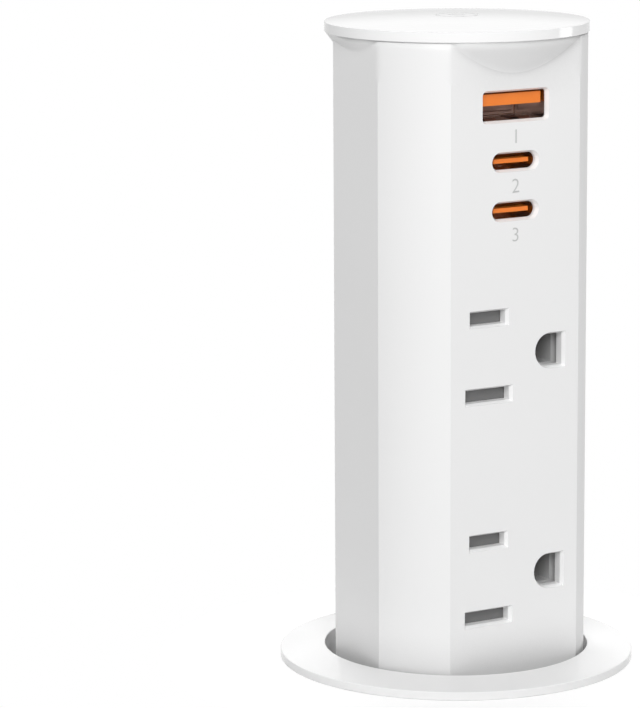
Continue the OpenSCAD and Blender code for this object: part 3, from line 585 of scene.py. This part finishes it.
def set_copies(model, spots, way, name, material, node=None):
    """Copies of a model, its top turned along a direction, as one piece of the column.

    The piece may stand for a CAD node.
    """
    turn = Vector(UP).rotation_difference(Vector(way)).to_matrix().to_4x4()
    copies = []
    for spot in spots:
        copy = model.copy()
        copy.data = model.data.copy()
        bpy.context.scene.collection.objects.link(copy)
        copy.matrix_world = Matrix.Translation([v * MM for v in spot]) @ turn
        copies.append(copy)
    bpy.data.objects.remove(model)
    if len(copies) > 1:
        join(copies)
    piece = settle(copies[0], name, material, "column")
    if node:
        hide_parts(node)


# Threads of the barrel and the nut: the nut's ridge runs in the groove of the barrel's

RIDGE_SUNK = 0.05
NUT_RIDGE_H = 0.45
NUT_LEAD_LOW = 1
NUT_LEAD_TOP = 1.2
RUN_OUT_STEPS = 8
THREAD_STEPS = 72


def ridge_sweep(foot_r, crest_r, foot_w, crest_w, low, turns, pitch, steps):
    """A trapezoid ridge on a right-hand helix, with open ends."""
    fresh()
    middle = (foot_r + crest_r) / 2 * MM
    bpy.ops.mesh.primitive_plane_add(size=MM, location=(middle, 0, low * MM),
                                     rotation=(math.pi / 2, 0, 0))
    ridge = sized((abs(crest_r - foot_r), foot_w, 1))
    edit(ridge)
    choose("VERT", lambda p: (p.x > middle) == (crest_r > foot_r))
    bpy.ops.transform.resize(value=(1, 1, crest_w / foot_w))
    fresh()
    screw_up(ridge, turns, pitch, steps)
    return ridge


def thread_ridge(name, foot_r, crest_r, foot_w, crest_w, low, high, material, body):
    """A thread that runs out into its wall over its last few steps at both ends."""
    middle = (foot_r + crest_r) / 2 * MM
    outward = crest_r > foot_r
    turns = (high - low) / THREAD_PITCH
    ridge = ridge_sweep(foot_r, crest_r, foot_w, crest_w, low, turns, THREAD_PITCH, THREAD_STEPS)
    rings = round(THREAD_STEPS * turns)
    for ring in range(RUN_OUT_STEPS):
        share = ring / RUN_OUT_STEPS
        for at in (ring, rings - ring):
            angle = 2 * math.pi * at / THREAD_STEPS
            height = (low + THREAD_PITCH * at / THREAD_STEPS) * MM
            edit(ridge)
            direction = Vector((math.cos(angle), math.sin(angle), 0))
            choose("VERT", lambda p:
                   (Vector((p.x, p.y, 0)).normalized() - direction).length < 1e-4
                   and abs(p.z - height) < THREAD_PITCH / 2 * MM
                   and (Vector((p.x, p.y, 0)).length > middle) == outward)
            sunk = foot_r + (crest_r - foot_r) * share
            bpy.ops.transform.resize(value=(sunk / crest_r, sunk / crest_r, 1),
                                     center_override=(0, 0, 0))
    close_and_smooth(ridge, 25)
    settle(ridge, name, material, body)


# The nut's ridge is half a pitch out of step with the barrel's, and starts above the nut's foot
nut_foot = NUT_LOW + NUT_LEAD_LOW
nut_start = nut_foot + (THREAD_LOW + THREAD_PITCH / 2 - nut_foot) % THREAD_PITCH
thread_ridge("barrel_thread", foot_r=BARREL_R - RIDGE_SUNK, crest_r=THREAD_R, foot_w=2.1,
             crest_w=0.9, low=THREAD_LOW, high=THREAD_TOP,
             material=SATIN, body="housing")
thread_ridge("nut_thread", foot_r=NUT_BORE + RIDGE_SUNK, crest_r=NUT_BORE - NUT_RIDGE_H,
             foot_w=1.8, crest_w=0.8, low=nut_start, high=NUT_TOP - NUT_LEAD_TOP,
             material=NYLON, body="nut")


# Springs, as round wire with closed end curls

def coil(name, turns, radius, height, wire, end_pitch, place, steps, sides, body):
    """One unbroken round wire. The first and last curl lie close, as on a compression spring."""
    spring = wire_helix(wire / 2, radius, turns, 1, steps, sides)
    free = (height - wire - 2 * end_pitch) / (turns - 2)

    def rise(turn):
        if turn < 1:
            return end_pitch * turn
        if turn < turns - 1:
            return end_pitch + (turn - 1) * free
        return height - wire - (turns - turn) * end_pitch

    rings = round(steps * turns)
    for i, vertex in enumerate(spring.data.vertices):
        turn = (i // sides) * turns / rings
        vertex.co.z += (wire / 2 + rise(turn) - turn) * MM
    spring.location = [v * MM for v in place]
    close_and_smooth(spring, 40)
    return settle(spring, name, SPRING_WIRE, body)


lift = coil("lift_spring_wire", turns=9, radius=15.6, height=SPRING_TOP - SPRING_FLOOR, wire=1.1,
            end_pitch=1.55, place=(0, 0, SPRING_FLOOR), steps=40, sides=10, body="housing")
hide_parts("lift_spring")
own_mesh(lift)
for side, outlet in zip(("lower", "upper"), OUTLET_ZS):
    low = outlet + SHUTTER_UP
    small = coil(f"shutter_spring_{side}_wire", turns=6, radius=0.45, height=SPRING_ROOM,
                 wire=0.2, end_pitch=0.62, place=(-SLOT_OFF, SHUTTER_Y + SHUTTER_T / 2, low),
                 steps=20, sides=8, body="column")
    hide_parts(f"shutter_spring_{side}")
    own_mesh(small)


# Screws

def cut_cross(piece, reach, width, top, deep):
    """Cuts two crossed bars down from a level, one slightly deeper so that their floors differ."""
    for turn, more in ((0, 1.0), (math.pi / 2, 1.06)):
        fresh()
        bpy.ops.mesh.primitive_cube_add(size=MM, location=(0, 0, top * MM), rotation=(0, 0, turn))
        cutter = bpy.context.object
        cutter.scale = (reach, width, 2 * deep * more)
        carve(piece, cutter)


def cross_screw(head_r, head_h, shank_r, length):
    """A pan head with a cross recess on z = 0, and a threaded shank that hangs below it."""
    overlap, almost = 0.1, 0.99
    fresh()
    bpy.ops.mesh.primitive_cylinder_add(vertices=40, radius=head_r * MM, depth=head_h * MM,
                                        location=(0, 0, head_h / 2 * MM))
    screw = sized()
    edit(screw)
    choose("EDGE", lambda e: min(v.co.z for v in e.verts) > almost * head_h * MM)
    bpy.ops.mesh.bevel(offset=0.35 * head_h * MM, segments=4)
    cut_cross(screw, reach=1.25 * head_r, width=0.3 * head_r, top=head_h, deep=0.6 * head_h)
    fresh()
    bpy.ops.mesh.primitive_cylinder_add(vertices=24, radius=0.78 * shank_r * MM,
                                        depth=(length + overlap) * MM,
                                        location=(0, 0, (overlap - length) / 2 * MM))
    core = sized()
    edit(core)
    choose("EDGE", lambda e: max(v.co.z for v in e.verts) < -almost * length * MM)
    bpy.ops.mesh.bevel(offset=0.5 * shank_r * MM, segments=1)
    pitch = 0.75 * shank_r
    ridge = ridge_sweep(foot_r=0.75 * shank_r, crest_r=shank_r, foot_w=0.8 * pitch,
                        crest_w=0.15 * pitch, low=0.7 * pitch - length,
                        turns=length / pitch - 1.5, pitch=pitch, steps=20)
    join((screw, core, ridge))
    close_and_smooth(screw, 35)
    return screw


set_copies(cross_screw(head_r=2.0, head_h=1.4, shank_r=1.05, length=7.6),
           [(x * s, y, FOOT_SCREW_Z) for x, y in FOOT_SCREW_XYS for s in BOTH],
           DOWN, "foot_cross_screws", ZINC, "foot_screws")
set_copies(cross_screw(head_r=1.6, head_h=1.1, shank_r=0.9, length=2.35),
           [(*DAMPER_SCREW_XY, z) for z in DAMPER_SCREW_ZS],
           LEFT, "damper_cross_screws", ZINC, "damper_screws")
set_copies(cross_screw(head_r=2.3, head_h=1.6, shank_r=1.0, length=5.0),
           [(x, *TERMINAL_YZ) for x in TERMINAL_XS],
           REAR, "terminal_cross_screws", ZINC, "terminal_screws")
set_copies(cross_screw(head_r=1.8, head_h=1.2, shank_r=0.9, length=7.0),
           [(x, BOARD_BACK, z) for x in BOARD_SCREW_XS for z in BOARD_SCREW_ZS],
           REAR, "board_cross_screws", ZINC, "board_screws")


# Contacts, fingers and back plate of the charging ports

def contact_strip(width, length, thick, dip):
    """A flat contact whose front end dips into the plastic."""
    nose = 0.5
    strip = box(width, length, thick)
    edit(strip)
    choose("FACE", lambda c, n: n.y < -FACING)
    extrude(0, -nose, dip)
    choose("EDGE", lambda e: abs(e.verts[0].co.x - e.verts[1].co.x) < 1e-9
           and abs(e.verts[0].co.y - e.verts[1].co.y) > 1e-9)
    bpy.ops.mesh.bevel(offset=0.2 * thick * MM, segments=2)
    close_and_smooth(strip, 30)
    return strip


def bent_strip(width, length, thick, end, bends):
    """A strip of sheet metal that is drawn out from one end of a flat through a row of bends."""
    fresh()
    bpy.ops.mesh.primitive_plane_add(size=MM)
    strip = sized((width, length, 1))
    edit(strip)
    choose("EDGE", end)
    for bend in bends:
        extrude(*bend)
    fresh()
    sheet = strip.modifiers.new("sheet", "SOLIDIFY")
    sheet.thickness = thick * MM
    apply_all(strip)
    close_and_smooth(strip, 40)
    return strip


def spring_finger():
    """A finger that leaves the port's floor at its rear, rises to a crest and dips at its tip."""
    bends = ((-1.5, 0.16), (-1.5, 0.2), (-0.5, 0.03), (-0.4, -0.06), (-0.6, -0.22))
    return bent_strip(width=2.2, length=1.2, thick=0.2,
                      end=lambda e: max(v.co.y for v in e.verts) < -0.5 * MM,
                      bends=[(0, y, z) for y, z in bends])


def port_back_plate():
    """A stamped plate with a raised field. It closes the wide port's rear under its tongue."""
    plate = box(12.2, 0.2, 2.4)
    edit(plate)
    choose("FACE", lambda c, n: n.y < -FACING)
    bpy.ops.mesh.inset(thickness=0.45 * MM)
    bpy.ops.mesh.inset(thickness=0.15 * MM, depth=0.12 * MM)
    close_and_smooth(plate, 30)
    return plate


WIDE_PADS = [(x, FRONT_Y + 5.9, PORT_A_Z + 0.09) for x in (-3.5, -1.2, 1.2, 3.5)]
WIDE_FINGERS = [(x, FRONT_Y + 7.4, PORT_A_Z - 2.5) for x in (-3.3, 3.3)]
WIDE_BACK = [(0, FRONT_Y + 9.95, PORT_A_Z - 1.3)]
PAD_COUNT = 12
PAD_PITCH = 0.5
PAD_OFF = 0.35
NARROW_PADS = [((i - (PAD_COUNT - 1) / 2) * PAD_PITCH, FRONT_Y + 4.9, z + s * PAD_OFF)
               for z in PORT_C_ZS for i in range(PAD_COUNT) for s in BOTH]

set_copies(contact_strip(width=1.1, length=6.8, thick=0.1, dip=0.08), WIDE_PADS,
           UP, "wide_port_contacts", GOLD)
set_copies(spring_finger(), WIDE_FINGERS, UP, "wide_port_fingers", STRIP)
set_copies(port_back_plate(), WIDE_BACK, UP, "wide_port_back_plate", STRIP)
set_copies(contact_strip(width=0.28, length=3.2, thick=0.06, dip=0.0), NARROW_PADS,
           UP, "narrow_port_contacts", GOLD)


# Small parts on the charging board, modelled upright and turned with their tops to the rear

def capacitor_top():
    """The end of a can: a rolled rim round a sunk disc with a cross-shaped vent."""
    fresh()
    bpy.ops.mesh.primitive_circle_add(vertices=48, radius=3.7 * MM, fill_type="NGON")
    top = bpy.context.object
    edit(top)
    bpy.ops.mesh.select_all(action="SELECT")
    extrude(0, 0, 0.25)
    bpy.ops.mesh.inset(thickness=0.25 * MM, depth=0.1 * MM)
    bpy.ops.mesh.inset(thickness=0.25 * MM)
    bpy.ops.mesh.inset(thickness=0.15 * MM, depth=-0.14 * MM)
    close_and_smooth(top, 30)
    cut_cross(top, reach=4.6, width=0.22, top=0.21, deep=0.09)
    close_and_smooth(top, 30)
    return top


def chip_body(width, length, height):
    """A moulded package with drafted sides, a softened top edge and a dimple at its first lead."""
    stand_off, draft, dimple_in = 0.1, 0.94, 0.7
    body = box(width, length, height, middle_z=height / 2 + stand_off)
    edit(body)
    choose("FACE", lambda c, n: n.z > FACING)
    bpy.ops.transform.resize(value=(draft, draft, 1))
    choose("EDGE", lambda e: min(v.co.z for v in e.verts) > height * MM)
    bpy.ops.mesh.bevel(offset=0.07 * MM, segments=2)
    fresh()
    dimple = ((dimple_in - width / 2) * MM, (length / 2 - dimple_in) * MM,
              (height + stand_off) * MM)
    bpy.ops.mesh.primitive_cylinder_add(vertices=20, radius=0.3 * MM, depth=0.2 * MM,
                                        location=dimple)
    carve(body, bpy.context.object)
    close_and_smooth(body, 25)
    return body


def gull_lead(side):
    """A lead that leaves the package at half height, bends down and ends in a flat foot."""
    bends = ((0.16, 0.0), (0.08, -0.08), (0.08, -0.42), (0.08, -0.08), (0.36, 0.0))
    return bent_strip(width=0.2, length=0.36, thick=0.12,
                      end=lambda e: min(side * v.co.x for v in e.verts) > 0.05 * MM,
                      bends=[(side * x, 0, z) for x, z in bends])


def soft_block(width, length, height, edge):
    """A block that stands on the board with all its edges softened."""
    block = box(width, length, height, middle_z=height / 2)
    edit(block)
    bpy.ops.mesh.select_all(action="SELECT")
    bpy.ops.mesh.bevel(offset=edge * MM, segments=2)
    close_and_smooth(block, 30)
    return block


def winding():
    """One layer of round wire on the transformer's bobbin."""
    wire = wire_helix(wire_r=0.27, radius=5.2, turns=11, pitch=0.56, steps=32, sides=8)
    close_and_smooth(wire, 40)
    return wire


CAN_TOPS = [(8, BOARD_BACK + 10.45, BOARD_MID_Z + s * 4.6) for s in BOTH]
ROW_ZS = (74.3, 97.4)
CHIP_W = 5.0
CHIPS = [(-1.5, BOARD_BACK, z) for z in reversed(ROW_ZS)]
LEADS = 4
LEAD_PITCH = 0.95
LEAD_UP = 0.64
RESISTOR_XZS = ([(x, z) for x in (4.4, 6.4) for z in ROW_ZS]
                + [(-6.6, z) for z in reversed(ROW_ZS)]
                + [(-10, z) for z in (80, 83, 86, 89, 92)])
RESISTORS = [(x, BOARD_BACK, z) for x, z in RESISTOR_XZS]
END_OFF = 0.68
BOBBIN = [(-2, BOARD_BACK + 1.6, BOARD_MID_Z)]

set_copies(capacitor_top(), CAN_TOPS, REAR, "capacitor_tops", ZINC)
set_copies(chip_body(CHIP_W, length=4.0, height=1.2), CHIPS,
           REAR, "board_chips", DARK)
for side, word in zip(BOTH, ("left", "right")):
    set_copies(gull_lead(side),
               [(x + side * CHIP_W / 2, y + LEAD_UP, z + (i - (LEADS - 1) / 2) * LEAD_PITCH)
                for x, y, z in CHIPS for i in range(LEADS)],
               REAR, f"chip_leads_{word}", TINNED)
set_copies(soft_block(width=1.6, length=0.8, height=0.5, edge=0.05), RESISTORS,
           REAR, "board_resistors", DARK)
set_copies(soft_block(width=0.34, length=0.86, height=0.55, edge=0.05),
           [(x + s * END_OFF, y, z) for x, y, z in RESISTORS for s in BOTH],
           REAR, "resistor_ends", TINNED)
set_copies(winding(), BOBBIN, REAR, "transformer_winding", COPPER)


# Printed marks: plain numbers under the ports, and a ring with a dot where the cap is pressed

def port_number(number, z):
    """A number as a thin film of ink on the front face."""
    film, proud = 0.012, 0.008
    fresh()
    bpy.ops.object.text_add(location=(0, 0, 0))
    mark = bpy.context.object
    mark.data.body = str(number)
    mark.data.align_x = "CENTER"
    mark.data.align_y = "CENTER"
    mark.data.size = 3.3 * MM
    mark.data.offset = -0.05 * MM
    mark.data.extrude = film * MM
    bpy.ops.object.convert(target="MESH")
    mark = bpy.context.object
    close_and_smooth(mark, 30)
    mark.rotation_euler = (math.pi / 2, 0, 0)
    mark.location = (0, (FRONT_Y - proud) * MM, z * MM)
    settle(mark, f"port_number_{number}", INK, "column")


def press_mark():
    """A ring with a dot, as a thin film of ink that follows the cap's dome."""
    film, ring_r, ring_w, gap = 0.03, 3.6, 0.45, 1.9
    hole_r = ring_r - ring_w
    dot_r = hole_r - gap
    dome_r = (CAP_R ** 2 + CAP_DOME ** 2) / (2 * CAP_DOME)
    fresh()
    bpy.ops.mesh.primitive_circle_add(vertices=64, radius=ring_r * MM, fill_type="NGON")
    mark = bpy.context.object
    edit(mark)
    bpy.ops.mesh.select_all(action="SELECT")
    bpy.ops.mesh.inset(thickness=ring_w * MM)
    bpy.ops.mesh.inset(thickness=gap * MM)
    choose("FACE", lambda c, n: dot_r * MM < Vector((c.x, c.y)).length < hole_r * MM)
    bpy.ops.mesh.delete(type="FACE")
    bpy.ops.mesh.select_all(action="SELECT")
    extrude(0, 0, film)
    fresh()
    for vertex in mark.data.vertices:
        r = math.hypot(vertex.co.x, vertex.co.y) / MM
        sag = dome_r - math.sqrt(dome_r ** 2 - r ** 2)
        vertex.co.z += (EDGE_Z + CAP_DOME - sag - film / 2) * MM
    close_and_smooth(mark, 30)
    settle(mark, "press_mark", INK, "column")


for number, z in enumerate(NUMBER_ZS, start=1):
    port_number(number, z)
press_mark()


# Stage: a pale round of desk with the barrel's hole, and a white surround

def desk():
    """A painted board that is white to the eye and in reflections, and keeps its shadows."""
    fresh()
    bpy.ops.mesh.primitive_circle_add(vertices=128, radius=DESK_R * MM, fill_type="NGON",
                                      location=(0, 0, DESK_Z * MM))
    top = bpy.context.object
    edit(top)
    bpy.ops.mesh.select_all(action="SELECT")
    bpy.ops.mesh.inset(thickness=(DESK_R - DESK_HOLE_R) * MM)
    bpy.ops.mesh.delete(type="FACE")
    fresh()
    top.name = "desk_round"
    material, tree, place = new_material("painted_board_white")
    grain = add(tree, "ShaderNodeTexNoise", {
        "Vector": place, "Scale": per_mm(2), "Detail": 2.0})
    bump = add(tree, "ShaderNodeBump", {
        "Height": grain.outputs["Fac"], "Strength": 0.1, "Distance": 0.01 * MM})
    plain = add(tree, "ShaderNodeBsdfDiffuse", {
        "Color": linear("#C6C6C6"), "Normal": bump.outputs["Normal"]})
    shaded = add(tree, "ShaderNodeBsdfDiffuse", {
        "Color": linear("#969696"), "Normal": bump.outputs["Normal"]})
    glow = add(tree, "ShaderNodeEmission", {"Color": (1, 1, 1, 1), "Strength": 0.74})
    white = add(tree, "ShaderNodeAddShader", {
        0: shaded.outputs["BSDF"], 1: glow.outputs["Emission"]})
    path = add(tree, "ShaderNodeLightPath")
    seen = add(tree, "ShaderNodeMath", {
        0: path.outputs["Is Camera Ray"], 1: path.outputs["Is Glossy Ray"]}, operation="MAXIMUM")
    either = add(tree, "ShaderNodeMixShader", {
        0: seen.outputs[0], 1: plain.outputs["BSDF"], 2: white.outputs["Shader"]})
    add(tree, "ShaderNodeOutputMaterial", {"Surface": either.outputs["Shader"]})
    top.data.materials.append(material)


def surround(sky, ground, horizon):
    """A plain white world that lights the object more from below, as a white table does.

    It is white to the eye. Reflections are white too, apart from a grey band at the horizon.
    Heights are the Z of a unit direction.
    """
    skyline, band_mid, band_flat, band_end = 0.15, 0.03, 0.03, 0.12
    world = bpy.data.worlds.new("white_surround")
    bpy.context.scene.world = world
    world.use_nodes = True
    tree = world.node_tree
    tree.nodes.clear()
    way = add(tree, "ShaderNodeTexCoord").outputs["Generated"]
    height = add(tree, "ShaderNodeSeparateXYZ", {"Vector": way}).outputs["Z"]
    light = add(tree, "ShaderNodeMapRange", {
        "Value": height, "From Min": -skyline, "From Max": skyline,
        "To Min": ground, "To Max": sky})
    offset = add(tree, "ShaderNodeMath", {0: height, 1: band_mid}, operation="SUBTRACT")
    away = add(tree, "ShaderNodeMath", {0: offset.outputs[0]}, operation="ABSOLUTE")
    mirrored = add(tree, "ShaderNodeMapRange", {
        "Value": away.outputs[0], "From Min": band_flat, "From Max": band_end,
        "To Min": horizon, "To Max": 1.0})
    path = add(tree, "ShaderNodeLightPath")
    glossy = add(tree, "ShaderNodeMath", {
        0: path.outputs["Is Glossy Ray"], 1: path.outputs["Is Transmission Ray"]},
        operation="MAXIMUM")
    indirect = add(tree, "ShaderNodeMapRange", {
        "Value": glossy.outputs[0], "To Min": light.outputs["Result"],
        "To Max": mirrored.outputs["Result"]})
    level = add(tree, "ShaderNodeMapRange", {
        "Value": path.outputs["Is Camera Ray"], "To Min": indirect.outputs["Result"],
        "To Max": 1.0})
    shade = add(tree, "ShaderNodeBackground", {
        "Color": (1, 1, 1, 1), "Strength": level.outputs["Result"]})
    add(tree, "ShaderNodeOutputWorld", {"Surface": shade.outputs["Background"]})


def lamp(name, azimuth, elevation, distance, width, height, watts):
    """A soft box aimed at the middle of the column, with its sizes in metres.

    Azimuth 0 is in front, and positive is to the left.
    """
    aim = Vector((0, 0, 0.05))
    data = bpy.data.lights.new(name, "AREA")
    data.shape = "RECTANGLE"
    data.size = width
    data.size_y = height
    data.energy = watts
    light = bpy.data.objects.new(name, data)
    bpy.context.scene.collection.objects.link(light)
    a, e = math.radians(azimuth), math.radians(elevation)
    way = Vector((-math.sin(a) * math.cos(e), -math.cos(a) * math.cos(e), math.sin(e)))
    light.location = aim + way * distance
    light.rotation_mode = "QUATERNION"
    light.rotation_quaternion = (-way).to_track_quat("-Z", "Y")


desk()
surround(sky=0.24, ground=0.52, horizon=0.72)
lamp("key_box", azimuth=33, elevation=28, distance=1.2, width=0.7, height=0.7, watts=11.2)
lamp("fill_box", azimuth=-75.5, elevation=-4, distance=1.3, width=0.42, height=0.62, watts=2.3)
lamp("back_box", azimuth=208, elevation=50, distance=1.2, width=0.8, height=0.8, watts=9.2)

bpy.context.scene.view_settings.view_transform = "Standard"
